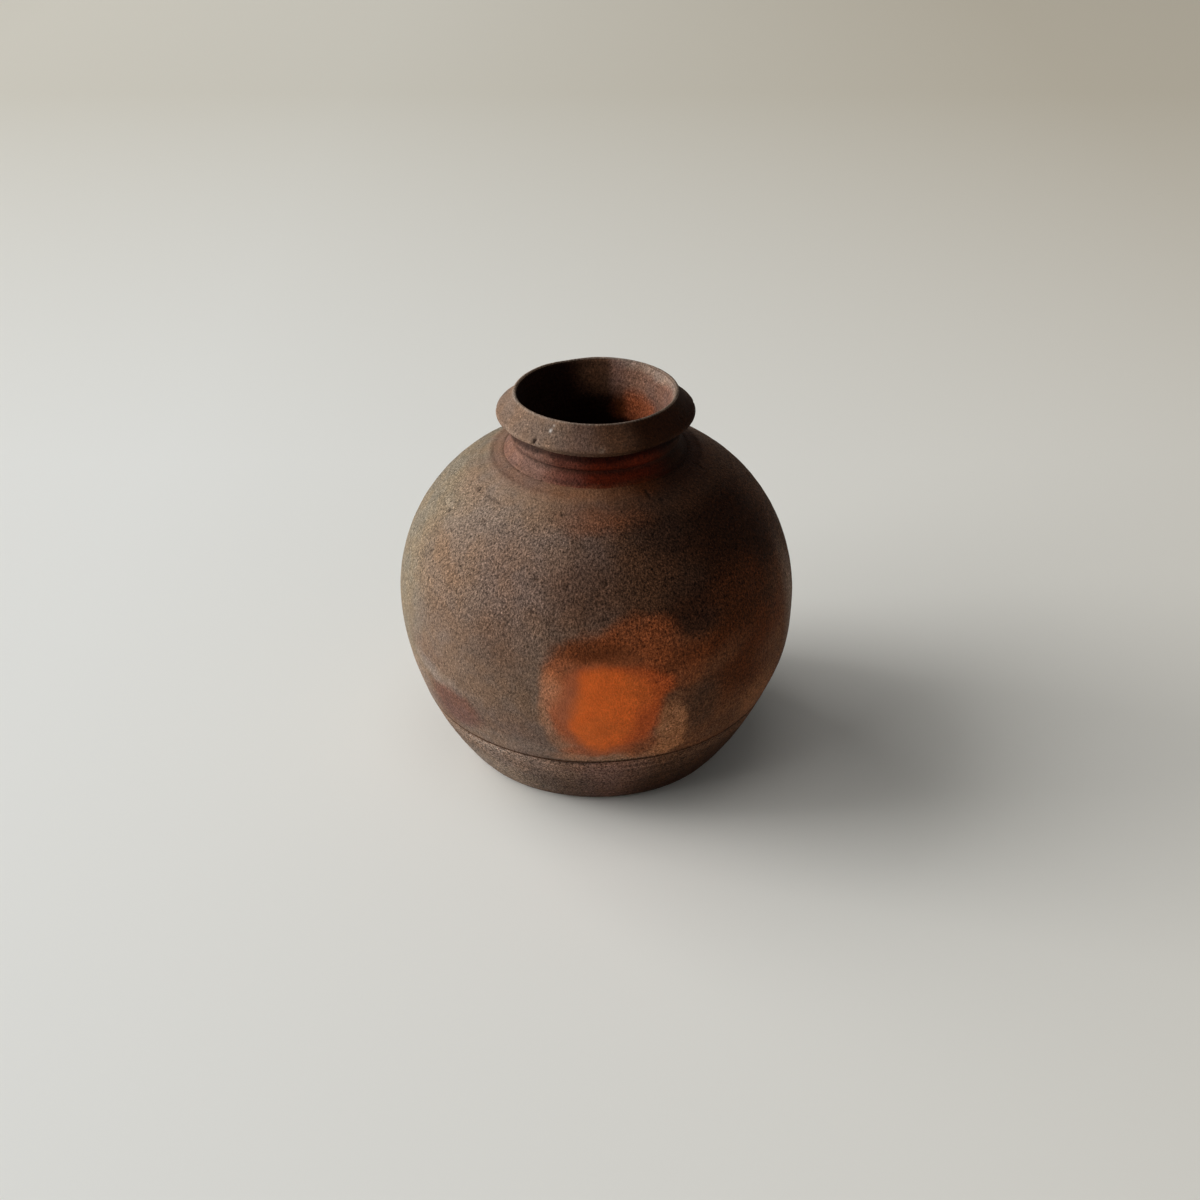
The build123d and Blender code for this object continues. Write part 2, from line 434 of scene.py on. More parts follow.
def ripple_bore(surface, shape, top):
    """Throwing lines in the bore, which run on from the neck into the rim, up to a height."""
    height = surface.height / MM
    bore = surface.inside | (surface.radius < shape.bore_radius + 0.02 * MM)
    ends = spread(75.5, 77, height) * (1 - spread(top / MM - 1, top / MM, height))
    near = bore & (surface.radius < shape.mouth_radius)
    surface.radius = surface.radius + 0.22 * surface.rings(surface.height, pitch=2.6) * ends * near * MM


class FootSection(bpy.types.Operator):
    """Builds the foot: the floor, the trimmed wall below the scratched line and the hollow underneath"""

    bl_idname = "jar.foot"
    bl_label = "Foot"

    def outline(self, shape):
        """From the middle of the hollow, up the wall and over the tongue, to the middle of the floor."""
        line, edge = shape.line_height, shape.foot_edge
        inner, outer = foot_tongue(shape)
        near_line, at_line = line - 1.6 * MM, line - 0.2 * MM
        sweep_top = shape.floor + shape.sweep_rise
        drawn = Outline(0, shape.hollow_depth)
        drawn.to(shape.hollow_radius - shape.hollow_depth, shape.hollow_depth, OUTSIDE, step=0.8 * MM)
        drawn.to(shape.hollow_radius, 0, OUTSIDE, step=0.4 * MM)
        drawn.to(shape.foot_radius - 0.6 * edge, 0, OUTSIDE, step=0.6 * MM)
        drawn.to(wall_at(shape, edge), edge, OUTSIDE, step=0.2 * MM, bulge=0.2 * edge)
        follow_wall(drawn, shape, edge, near_line, OUTSIDE, step=0.4 * MM)
        follow_wall(drawn, shape, near_line, at_line, OUTSIDE, step=0.2 * MM)
        drawn.to(wall_at(shape, line) - shape.line_cut, line, JOINT, step=0.4 * MM)
        drawn.to(outer, line, JOINT, step=0.4 * MM)
        drawn.joint(outer, inner, line, line + shape.tongue_height)
        drawn.to(wall_at(shape, line, shape.wall), line, JOINT, step=0.6 * MM)
        follow_wall(drawn, shape, line, sweep_top, INSIDE, step=0.8 * MM, inset=shape.wall)
        sweep_inner = wall_at(shape, sweep_top, shape.wall) - shape.sweep_width
        drawn.to(sweep_inner, shape.floor, INSIDE, step=0.7 * MM, bulge=-shape.sweep_hollow)
        drawn.to(0, shape.floor, INSIDE, step=1.0 * MM)
        return drawn

    def execute(self, context):
        shape = context.scene.jar_shape
        line = shape.line_height / MM
        surface = Surface(self.outline(shape), shape.turns)
        height, radius, azimuth = surface.height / MM, surface.radius / MM, surface.azimuth
        # The foot's underside reaches out to this radius and up to this height
        under_radius, under_height = 32 * MM, 1.3 * MM
        skin = surface.outside & (surface.radius > under_radius)
        under = surface.outside & (surface.height < under_height) & (surface.radius < under_radius)
        settle_wall(surface, shape)
        fade = spread(0, 0.7, line - height) * spread(0, 1, height)
        surface.press(0.10 * surface.rings(surface.height, pitch=1.1), skin * fade)
        surface.press(0.05 * surface.lumps(size=1.3, seed=3), skin * fade)
        crackle = bump_at(azimuth, middle=-37, width=9) * band(height, middle=17, width=1.9)
        surface.press(0.30 * crackle * surface.lumps(size=1.1, seed=4), skin * fade)
        second_line = band(surface.z / MM, middle=18.5, width=0.22) * bump_at(azimuth, middle=-8, width=10)
        surface.press(0.16 * second_line, skin)
        worn = bump_at(azimuth, middle=-5, width=30) + 0.35 * bump_at(azimuth, middle=150, width=25)
        worn_edge = spread(30.5, 33.2, radius) * surface.outside
        surface.press(0.40 * worn * (1 - spread(0, 2.6, height)), worn_edge)
        spiral_pitch, throwing_pitch = 1.9, 5.2
        spiral = 0.5 + 0.5 * np.sin(azimuth + radius * 2 * math.pi / spiral_pitch)
        surface.press(0.12 * spiral + 0.05 * surface.lumps(size=1.4, seed=6), under * (height > 0.2))
        throwing = 0.5 + 0.5 * np.sin(azimuth + (radius - height) * 2 * math.pi / throwing_pitch)
        floor_rise = spread(0, 6, radius) * spread(0.4, 2, line - height)
        surface.press(0.45 * throwing * floor_rise, surface.inside)
        surface.masks["line_dark_and_shade"] = seam_shade(surface, shape)
        surface.masks["crackle"] = crackle * skin
        surface.masks["edge_tone"] = (1 - spread(0.2, 1.6, height)) * (radius > 29)
        surface.masks["pit"] = 0.8 * second_line * skin
        piece = surface.mesh("foot_section", (foot_finish(), inside_finish()))
        place(piece, "foot", "wood_fired_stoneware")
        return {"FINISHED"}


# Pits in the globe's skin: azimuth in degrees and height in millimetres, and the size of each
BODY_PITS = (
    (-19, 65.6), (3, 65.4), (-62, 75.4), (-67, 70), (-63, 62), (-47, 72.1), (33, 77.3), (72, 78), (28, 78.2),
    (-9, 64.8), (12, 49.5), (-110, 60), (-140, 52), (160, 66), (125, 48), (-165, 30), (96, 70),
)
BODY_PIT_SIZE = 0.42
# Rings turned into the top of the shoulder: radius and depth in millimetres, and the width of each
SHOULDER_RINGS = ((26.6, 0.05), (28.6, 0.07), (31.9, 0.05))
RING_WIDTH = 0.35


class BodySection(bpy.types.Operator):
    """Builds the body: the globe from the scratched line to the seat round the neck"""

    bl_idname = "jar.body"
    bl_label = "Body"

    def outline(self, shape):
        """From the line, up the globe to the seat, down through the opening, and round the groove."""
        line, top = shape.line_height, shape.seat_height
        inner, outer = foot_tongue(shape, shape.slip_gap)
        at_line, near_line, shoulder = line + 0.15 * MM, line + 1.2 * MM, 66 * MM
        centre, arc = wall_arcs(shape)[1]
        under = shape.belly_height + math.sqrt((arc - shape.wall) ** 2 - (shape.opening_radius - centre) ** 2)
        drawn = Outline(wall_at(shape, line) - shape.line_cut, line)
        drawn.to(wall_at(shape, at_line), at_line, JOINT, step=0.4 * MM)
        follow_wall(drawn, shape, at_line, near_line, OUTSIDE, step=0.25 * MM)
        follow_wall(drawn, shape, near_line, shape.belly_height, OUTSIDE, step=0.67 * MM)
        follow_wall(drawn, shape, shape.belly_height, shoulder, OUTSIDE, step=0.67 * MM)
        follow_wall(drawn, shape, shoulder, top, OUTSIDE, step=0.42 * MM)
        drawn.to(shape.opening_radius, top, OUTSIDE, step=0.5 * MM)
        drawn.to(shape.opening_radius, under, JOINT, step=1.0 * MM)
        follow_wall(drawn, shape, under, shape.belly_height, INSIDE, step=2.8 * MM, inset=shape.wall)
        follow_wall(drawn, shape, shape.belly_height, line, INSIDE, step=2.8 * MM, inset=shape.wall)
        drawn.to(inner, line, JOINT, JOINT_STEP)
        drawn.joint(inner, outer, line, line + shape.tongue_height + shape.slip_gap)
        drawn.to(*drawn.points[0], JOINT, step=0.4 * MM)
        return drawn

    def execute(self, context):
        shape = context.scene.jar_shape
        line = shape.line_height / MM
        surface = Surface(self.outline(shape), shape.turns)
        height, radius = surface.height / MM, surface.radius / MM
        settle_wall(surface, shape)
        skin = surface.outside * np.where(height > 78.2, spread(23.3, 24.0, radius), 1)
        fade = spread(0, 0.8, height - line) * (1 - 0.6 * spread(77.6, 78.3, height))
        shoulder = spread(58, 74, height)
        along = surface.height - surface.radius
        surface.press((0.05 + 0.09 * shoulder) * surface.rings(along, pitch=2.3), skin * fade)
        surface.press((0.03 + 0.05 * shoulder) * surface.rings(along, pitch=0.9, seed=4), skin * fade)
        surface.press(0.035 * surface.lumps(size=1.5, seed=3), skin * fade)
        for ring, deep in SHOULDER_RINGS:
            come = 0.4 + 0.6 * surface.lumps(size=15.0, seed=ring)
            surface.press(deep * come * band(radius, ring, RING_WIDTH), skin * (height > 60))
        fillet = 0.9 * band(radius, middle=21.8, width=1.7)
        surface.press(-fillet, surface.outside * (height > 70))
        pit = surface.pits(BODY_PITS, BODY_PIT_SIZE)
        scratch = band(surface.z / MM, middle=75.4, width=0.25)
        scratch = scratch * bump_at(surface.azimuth, middle=-51, width=7)
        surface.press(0.35 * pit + 0.10 * scratch, skin)
        throwing_pitch = 5.6
        throwing = 0.5 + 0.5 * np.sin(surface.azimuth + height * 2 * math.pi / throwing_pitch)
        surface.press(0.5 * throwing, surface.inside * spread(0, 5, height - line))
        surface.masks["line_dark_and_shade"] = seam_shade(surface, shape)
        surface.masks["pit"] = np.maximum(pit, 0.5 * scratch) * skin
        piece = surface.mesh("body_section", (globe_finish(), inside_finish()))
        place(piece, "body", "wood_fired_stoneware")
        return {"FINISHED"}


class NeckSection(bpy.types.Operator):
    """Builds the neck: the flared collar, the groove, the raised ring and the sleeve inside"""

    bl_idname = "jar.neck"
    bl_label = "Neck"

    def outline(self, shape):
        """Up the collar and the raised ring, over the tongue, down the bore and up the sleeve."""
        top, seat, low = neck_high.z - shape.tongue_height, shape.seat_height, neck_low.z
        inner, outer = neck_tongue(shape)
        sleeve, turn = shape.opening_radius - shape.slip_gap, shape.sleeve_round
        turn_bulge = turn * (1 - math.sqrt(0.5))
        drawn = Outline(shape.collar_radius, seat)
        drawn.to(shape.groove_radius, shape.groove_height, OUTSIDE, step=0.2 * MM, bulge=-shape.collar_hollow)
        drawn.to(shape.undercut_radius, top, OUTSIDE, step=0.18 * MM, bulge=shape.ring_swell)
        drawn.to(outer, top, JOINT, step=0.5 * MM)
        drawn.joint(outer, inner, top, top + shape.tongue_height)
        drawn.to(shape.bore_radius, top, JOINT, step=0.5 * MM)
        drawn.to(shape.bore_radius, low + turn, INSIDE, step=0.4 * MM)
        drawn.to(shape.bore_radius + turn, low, INSIDE, step=0.3 * MM, bulge=turn_bulge)
        drawn.to(sleeve - turn, low, INSIDE, step=0.3 * MM)
        drawn.to(sleeve, low + turn, INSIDE, step=0.3 * MM, bulge=turn_bulge)
        drawn.to(sleeve, seat, JOINT, step=0.6 * MM)
        drawn.to(*drawn.points[0], JOINT, step=0.6 * MM)
        return drawn

    def execute(self, context):
        shape = context.scene.jar_shape
        surface = Surface(self.outline(shape), shape.turns)
        height, skin = surface.height / MM, surface.outside
        top, seat = (neck_high.z - shape.tongue_height) / MM, shape.seat_height / MM
        ripple_bore(surface, shape, rim_high.z)
        ends = spread(0, 0.5, height - seat) * spread(0, 0.5, top - height)
        surface.press(0.10 * surface.rings(surface.height, pitch=1.0), skin * ends)
        surface.press(0.05 * surface.rings(surface.height, pitch=0.45, seed=4), skin * ends)
        surface.press(0.07 * surface.lumps(size=7.0, seed=3), skin * ends)
        around = 0.35 + 0.65 * bump_at(surface.azimuth, middle=40, width=45)
        step = band(height, middle=80.0, width=0.22) * around
        groove = band(height, middle=shape.groove_height / MM, width=0.5)
        surface.press(0.16 * step + 0.14 * groove, skin)
        # Where the groove and the step get painted shade
        surface.masks["hollow"] = np.maximum(groove, 0.5 * step) * skin
        piece = surface.mesh("neck_section", (neck_finish(), inside_finish()))
        place(piece, "neck", "red_flashed_stoneware")
        return {"FINISHED"}


# Pits in the flange and white grains on its slope: azimuth in degrees and height in millimetres
RIM_PITS = ((-36.6, 89.9), (-36.8, 89.5), (-37, 89.1), (64, 90.8), (-118, 90.5), (150, 90.2))
BIG_FLECK, SMALL_FLECK = (-29.3, 91.9), (-28, 92.9)


class RimSection(bpy.types.Operator):
    """Builds the rim: the flange with its rounded edge and hollow slope, and the thin lip"""

    bl_idname = "jar.rim"
    bl_label = "Rim"

    def outline(self, shape):
        """Round the flange's edge, up its slope and over the lip, down inside and round the groove."""
        low, shoulder, corner = rim_low.z, lip_base(shape), rim_high.y - shape.flange_round
        inner, outer = neck_tongue(shape, shape.slip_gap)
        drawn = Outline(shape.undercut_radius, low)
        edge_low, edge_high = shape.flange_height - shape.flange_edge, shape.flange_height + shape.flange_edge
        drawn.to(corner, edge_low, OUTSIDE, step=0.25 * MM, bulge=-shape.undercut_hollow)
        drawn.to(corner, edge_high, OUTSIDE, step=0.15 * MM, bulge=shape.flange_round)
        drawn.to(shape.mouth_radius + shape.lip, shoulder, OUTSIDE, step=0.2 * MM, bulge=-shape.slope_hollow)
        drawn.to(shape.mouth_radius, shoulder, OUTSIDE, step=0.12 * MM, bulge=shape.lip / 2)
        drawn.to(shape.bore_radius, low, INSIDE, step=0.3 * MM, bulge=shape.mouth_swell)
        drawn.to(inner, low, JOINT, step=0.5 * MM)
        drawn.joint(inner, outer, low, low + shape.tongue_height + shape.slip_gap)
        drawn.to(*drawn.points[0], JOINT, step=0.5 * MM)
        return drawn

    def execute(self, context):
        shape = context.scene.jar_shape
        surface = Surface(self.outline(shape), shape.turns)
        height, azimuth, skin = surface.height / MM, surface.azimuth, surface.outside
        high, base, shoulder = shape.flange_height / MM, rim_low.z / MM, lip_base(shape) / MM
        rise = spread(high - 0.5, rim_high.z / MM, height)
        dip = 0.40 * bump_at(azimuth, middle=-85, width=34) + 0.30 * bump_at(azimuth, middle=-160, width=12)
        dip = dip + 0.05 * np.sin(3 * azimuth + 1)
        surface.z = surface.z - np.maximum(dip, 0) * rise * MM
        surface.press(0.10 + 0.10 * np.sin(2 * azimuth + 1.1), skin * spread(0, 1.4, height - base))
        slope = skin & (surface.out_height[0] > 0.15)
        surface.press(0.06 * surface.rings(surface.height - surface.radius, pitch=0.8), slope)
        surface.press(0.04 * surface.lumps(size=1.4, seed=3), skin * spread(0, 0.8, height - base))
        edge = band(height, middle=high, width=0.9) * (surface.radius > 22 * MM)
        chips = spread(0.72, 0.9, surface.lumps(size=2.4, seed=8)) * edge
        nick = bump_at(azimuth, middle=-62, width=3) * edge
        surface.press(0.22 * chips + 0.30 * nick, skin)
        pit = surface.pits(RIM_PITS, size=0.34)
        fleck = surface.pits((BIG_FLECK,), size=0.3) + 0.4 * surface.pits((SMALL_FLECK,), size=0.25)
        surface.press(0.35 * pit - 0.12 * fleck, skin)
        ripple_bore(surface, shape, lip_base(shape))
        surface.masks["pit"] = pit * skin
        surface.masks["lip"] = spread(shoulder - 0.05, shoulder + 0.3, height) * skin
        surface.masks["fleck"] = fleck * skin
        # A painted highlight on the flange's rounded edge, and the chips, which are worn
        surface.masks["edge_tone"] = np.minimum(0.55 * edge + chips, 1)
        surface.masks["nick"] = np.minimum(nick + chips, 1)
        piece = surface.mesh("rim_section", (rim_finish(), inside_finish()))
        place(piece, "rim", "wood_fired_stoneware")
        return {"FINISHED"}


# How much the clay mirrors light, and the warm and cool casts that drift over it
MATTE = 0.05
WARM_CAST, COOL_CAST = (1.05, 0.99, 0.94), (0.96, 0.98, 1.03)
# How far a mark reaches in through the wall, in millimetres
MARK_DEPTH = 45.0


def new_material(name):
    """A material made of nodes."""
    material = bpy.data.materials.new(name)
    material.use_nodes = True
    return material


class Nodes:
    """A node tree. The methods that add nodes give back the socket that they end in."""

    def __init__(self, tree):
        self.tree = tree

    def feed(self, node, values):
        """Links sockets to a node's inputs, and sets those that get a plain value."""
        for inlet, value in dict(values).items():
            if isinstance(value, bpy.types.NodeSocket):
                self.tree.links.new(value, node.inputs[inlet])
            else:
                node.inputs[inlet].default_value = value

    def add(self, kind, values=(), outlet=0, **settings):
        """Adds a node with its inputs and settings."""
        node = self.tree.nodes.new(kind)
        for key, value in settings.items():
            setattr(node, key, value)
        self.feed(node, values)
        return node.outputs[outlet]

    def maths(self, operation, *values):
        """A sum with numbers."""
        return self.add("ShaderNodeMath", enumerate(values), operation=operation)

    def vectors(self, operation, *values, outlet=0):
        """A sum with vectors."""
        return self.add("ShaderNodeVectorMath", enumerate(values), outlet, operation=operation)

    def product(self, first, second):
        """One number times another."""
        return self.maths("MULTIPLY", first, second)

    def total(self, first, *others):
        """Numbers added up."""
        for other in others:
            first = self.maths("ADD", first, other)
        return first

    def times(self, vector, factor):
        """A vector or a colour times a number."""
        return self.add("ShaderNodeVectorMath", {0: vector, "Scale": factor}, operation="SCALE")

    def split(self, vector):
        """The three numbers of a vector."""
        return self.add("ShaderNodeSeparateXYZ", {0: vector}).node.outputs

    def slope(self, value, low, high, start=0.0, end=1.0, kind="LINEAR"):
        """Goes from start to end as the value goes from low to high."""
        values = enumerate((value, low, high, start, end))
        return self.add("ShaderNodeMapRange", values, interpolation_type=kind)

    def ease(self, *values):
        """A slope that starts and ends softly."""
        return self.slope(*values, kind="SMOOTHSTEP")

    def blend(self, below, above, share, kind="MIX"):
        """One colour over another, by a share."""
        values = {0: share, 6: below, 7: above}
        return self.add("ShaderNodeMix", values, 2, data_type="RGBA", blend_type=kind)


class Finish(Nodes):
    """One clay surface. It starts from colours round the jar, and each further colour is laid over them."""

    def __init__(self, name, stops):
        self.material = new_material(name)
        super().__init__(self.material.node_tree)
        self.colours = bpy.context.scene.fired_colours
        self.shape = bpy.context.scene.jar_shape
        self.place = self.times(self.add("ShaderNodeTexCoord", outlet="Object"), 1 / MM)
        broad = self.warp(self.place, size=9.0, reach=2.0, seed=1)
        self.warped = self.warp(broad, size=0.9, reach=0.6, seed=2)
        self.x, self.y, self.z = self.split(self.warped)
        self.azimuth = self.maths("ARCTAN2", self.x, self.product(self.y, -1))
        self.colour = self.around(stops)

    def noise(self, size, seed=0, detail=2.0, stretch=(1, 1, 1), outlet=0):
        """Noise round 0.5 with lumps of a size in millimetres."""
        shifted = self.vectors("MULTIPLY_ADD", self.place, stretch, (17.0 * seed, 5.0 * seed, 0))
        values = {"Vector": shifted, "Scale": 1 / size, "Detail": detail, "Roughness": 0.55}
        return self.add("ShaderNodeTexNoise", values, outlet)

    def warp(self, place, size, reach, seed):
        """Moves places about by a reach in millimetres, so that edges come out uneven."""
        push = self.vectors("SUBTRACT", self.noise(size, seed, outlet="Color"), (0.5, 0.5, 0.5))
        return self.vectors("ADD", place, self.times(push, 2 * reach))

    def paint(self, colour):
        """A socket as it is, or a named colour of the clay."""
        return (*getattr(self.colours, colour), 1) if isinstance(colour, str) else colour

    def lay(self, colour, share):
        """Lays a colour over what is there, by a share."""
        self.colour = self.blend(self.colour, self.paint(colour), share)

    def shade(self, factor, share):
        """Makes what is there lighter or darker by a factor, by a share."""
        self.lay(self.times(self.colour, factor), share)

    def vary(self, noise, amount):
        """Makes what is there lighter and darker with a noise, by an amount."""
        change = self.product(self.maths("SUBTRACT", noise, 0.5), amount)
        self.colour = self.times(self.colour, self.total(change, 1.0))

    def around(self, stops):
        """Colour that changes round the jar, from stops of azimuth in degrees and colour."""
        share = self.maths("MULTIPLY_ADD", self.azimuth, 0.5 / math.pi, 0.5)
        node = self.add("ShaderNodeValToRGB", {0: share}).node
        ramp = node.color_ramp
        ramp.interpolation = "EASE"
        ramp.elements[0].color = ramp.elements[1].color = self.paint(stops[0][1])
        for azimuth, colour in stops[1:]:
            ramp.elements.new((azimuth + 180) / 360).color = self.paint(colour)
        return node.outputs[0]

    def area(self, azimuth, height, half_width, half_height, tilt=0, soft=0.4, strength=1.0):
        """Share of an oval patch of the wall, with its middle at an azimuth and a height."""
        radius = wall_at(self.shape, height * MM) / MM
        turn = math.radians(azimuth)
        values = {
            "Vector": self.warped,
            "Location": (radius * math.sin(turn), -radius * math.cos(turn), height),
            "Rotation": (0, math.radians(tilt), turn),
            "Scale": (half_width, MARK_DEPTH, half_height),
        }
        local = self.add("ShaderNodeMapping", values, vector_type="TEXTURE")
        reach = self.vectors("LENGTH", local, outlet="Value")
        return self.ease(reach, 1 + soft, 1 - soft, 0, strength)

    def marks(self, table):
        """Lays marks of the fire, from the first to the last."""
        for colour, *where in table:
            self.lay(colour, self.area(*where))

    def mask(self, name, strength=1.0):
        """A mask that the mesh carries, times a strength."""
        return self.product(self.add("ShaderNodeAttribute", outlet="Fac", attribute_name=name), strength)

    def grains(self, cell, radius, share, seed):
        """Round grains of a radius in millimetres, one in a share of the cells."""
        shifted = self.vectors("ADD", self.place, (9.0 * seed,) * 3)
        node = self.add("ShaderNodeTexVoronoi", {"Vector": shifted, "Scale": 1 / cell}).node
        near = self.ease(node.outputs["Distance"], radius / cell, 0.45 * radius / cell)
        return self.product(near, self.maths("LESS_THAN", self.split(node.outputs["Color"])[0], share))

    def clay(self, smooth=0.0, grain=1.0, lines=0.5, gritty=0.04):
        """Gives the colour the clay's grain, turning lines, grit and holes, and ends the material."""
        speckle = self.noise(size=0.52, seed=3, detail=1.5, stretch=(1, 1, 0.7))
        fine = self.noise(size=0.3, seed=5, detail=1.0, stretch=(1, 1, 0.8))
        mottle = self.noise(size=3.2, seed=4, detail=3.0)
        cast = self.noise(size=7.0, seed=6)
        turning = self.noise(size=0.8, seed=7, stretch=(0.05, 0.05, 1.0))
        coarse = self.maths("SUBTRACT", 1.0, smooth)
        warm, cool = (self.vectors("MULTIPLY", self.colour, tint) for tint in (WARM_CAST, COOL_CAST))
        self.colour = self.blend(cool, warm, self.ease(cast, 0.35, 0.65))
        self.vary(mottle, 0.5)
        for noise, amount in ((speckle, 2.4 * grain), (fine, 2.6 * grain), (turning, 0.6 * lines)):
            self.vary(noise, self.product(coarse, amount))
        grit = self.product(self.grains(cell=1.6, radius=0.24, share=gritty, seed=1), coarse)
        holes = self.grains(cell=2.6, radius=0.34, share=0.22, seed=2)
        holes = self.product(holes, self.product(coarse, min(grain, 1.0)))
        self.shade(2.3, self.product(grit, 0.8))
        # The holes are darkened as well as sunk: painted shade in them
        self.shade(0.28, self.product(holes, 0.85))
        roughness = self.maths("MULTIPLY_ADD", mottle, 0.16, 0.66)
        roughness = self.maths("MULTIPLY_ADD", smooth, -0.14, roughness)
        height = self.product(self.product(speckle, 1.4 * grain), coarse)
        for relief, amount in ((fine, 0.5 * grain), (turning, 0.5 * lines), (holes, -0.8)):
            height = self.maths("MULTIPLY_ADD", relief, amount, height)
        bump = self.add("ShaderNodeBump", {"Strength": 0.9, "Distance": 0.3 * MM, "Height": height})
        shader = self.tree.nodes["Principled BSDF"]
        self.feed(shader, {"Base Color": self.colour, "Roughness": roughness, "Normal": bump})
        self.feed(shader, {"Specular IOR Level": MATTE})
        return self.material


# Marks of the fire on the foot and the globe, and a painted sheen among them, from the first to the last:
# colour, azimuth in degrees, height, half width and half height in millimetres, tilt in degrees, softness and
# strength
FOOT_MARKS = (
    ("pale_ash", -42, 6, 13, 6, 0, 0.6, 0.7),
    ("blush", 2, 17, 9, 2.5, 0, 0.6, 0.4),
    # The soot low on the right side is partly painted shade
    ("soot", 38, 6, 14, 6, 0, 0.6, 0.4),
)
GLOBE_MARKS = (
    ("tan", -48, 76, 19, 3.0, 0, 0.6, 0.9),
    ("tan", -55, 63, 11, 8, 0, 0.6, 0.7),
    ("pale_ash", -42, 70.5, 17, 4.8, 0, 0.7, 0.32),
    ("pale_ash", -52, 42, 14, 8, 0, 0.8, 0.18),
    # The dark plum and soot marks on the right side are partly painted shade
    ("dark_plum", 52, 53, 11, 5, 0, 0.7, 0.6),
    ("plum_grey", -28, 67, 10, 5, 0, 0.6, 0.6),
    ("slate", 28, 73.5, 9, 4.4, 0, 0.6, 0.8),
    ("dark_plum", 57, 69, 13, 9, 0, 0.6, 0.85),
    ("grape", 0, 64, 8, 4.0, 0, 0.6, 0.7),
    ("umber", 22, 65, 9, 3.5, 0, 0.6, 0.5),
    ("rust", 50, 59, 9, 5.5, 0, 0.6, 0.5),
    ("rust", 38, 47, 22, 5.5, 0, 0.5, 0.9),
    ("soot", 28, 56, 7.5, 3.4, 0, 0.5, 0.85),
    ("umber", 0, 64, 8, 4.5, 0, 0.7, 0.5),
    ("umber", -6, 57, 8, 4.0, 0, 0.8, 0.35),
    ("umber", -27, 46, 12, 9, 0, 0.8, 0.22),
    ("halo", -5, 37, 8.9, 15.5, 0, 0.12, 0.5),
    ("ember", 12.5, 52.3, 9.0, 6.8, 0, 0.25, 0.8),
    ("ember", 5, 50.5, 9.5, 6.0, 0, 0.35, 0.6),
    ("ember", 1, 47.6, 12.4, 6.6, 0, 0.16, 0.8),
    ("rust", -1, 52.0, 8.5, 2.4, 0, 0.7, 0.75),
    # Painted sheen low on the right side, standing in for light glancing off the clay
    ("bloom", 76, 43, 4.4, 12, 0, 0.9, 0.95),
    ("umber", 31, 33.5, 5.0, 7.2, 0, 0.4, 0.8),
    ("umber", 40, 24, 5.5, 3.2, 0, 0.5, 0.6),
    ("sand", 57, 26, 7, 6, -10, 0.6, 0.3),
    ("pale_ash", -32, 22, 15, 2.8, 0, 0.6, 0.3),
    ("dusk", 0.5, 36, 10.6, 12.6, 0, 0.14, 0.95),
    ("glow", -12.2, 42.0, 2.4, 5.0, 0, 0.6, 0.6),
    ("ember", 26, 49.5, 6, 3.0, 0, 0.6, 0.35),
    ("ember", 23, 43.6, 6.5, 3.0, -12, 0.6, 0.8),
    ("russet", 34, 44.6, 9.0, 2.6, -14, 0.8, 0.55),
    ("sand", 21.8, 28.6, 3.9, 8.0, 0, 0.25, 0.75),
    ("sand", 21, 22.0, 5.0, 1.8, 0, 0.45, 0.75),
    ("halo", 0, 21.6, 10, 1.6, 0, 0.45, 0.5),
    ("dusk", 1, 23.8, 8, 1.5, 0, 0.5, 0.85),
    ("ember", 13, 24.8, 4, 3.8, 0, 0.5, 0.75),
    ("flame_red", 10.6, 36.5, 6.3, 11.2, 8, 0.25, 0.92),
    ("flame_red", 16, 42.6, 4.8, 3.6, 12, 0.4, 0.8),
    ("flame_red", 4.6, 46.2, 7.4, 2.2, 0, 0.35, 0.9),
    ("flame", 2.2, 36.0, 6.9, 11.4, 0, 0.3, 1.0),
    ("flame", 3.2, 43.2, 5.9, 4.0, 0, 0.35, 1.0),
    ("flame", 0.5, 30.8, 5.6, 5.8, 0, 0.3, 1.0),
    ("flame", 9.0, 41.0, 6.0, 4.2, 14, 0.6, 0.8),
    ("blush", -46, 27.5, 8.4, 5.4, 14, 0.3, 0.95),
    ("blush", -54, 23, 6, 3.0, 10, 0.5, 0.6),
    ("pale_ash", -54, 34.5, 9, 2.0, 12, 0.5, 0.6),
    ("plum_grey", -56, 39, 7, 3.5, 0, 0.6, 0.5),
    ("grape", -27, 51, 7, 6, 0, 0.6, 0.4),
    ("umber", -5, 75.6, 9, 2.0, 0, 0.7, 0.3),
    ("ember", 4, 75.6, 9, 2.0, 0, 0.7, 0.3),
    ("pale_ash", -56, 75.5, 10, 3.0, 0, 0.7, 0.35),
    ("umber", 52, 76.8, 20, 2.2, 0, 0.7, 0.4),
    ("rust", 138, 37, 15, 12, 15, 0.5, 0.6),
    ("halo", 150, 35, 8, 8, 0, 0.35, 0.6),
    ("flame_red", 150, 35, 5, 5, 0, 0.45, 0.5),
    ("blush", -140, 30, 13, 8, -10, 0.5, 0.6),
    ("soot", 176, 63, 15, 6, 5, 0.6, 0.6),
    ("pale_ash", -165, 45, 12, 6, 20, 0.6, 0.4),
    ("sand", 112, 26, 9, 5, 0, 0.5, 0.5),
)


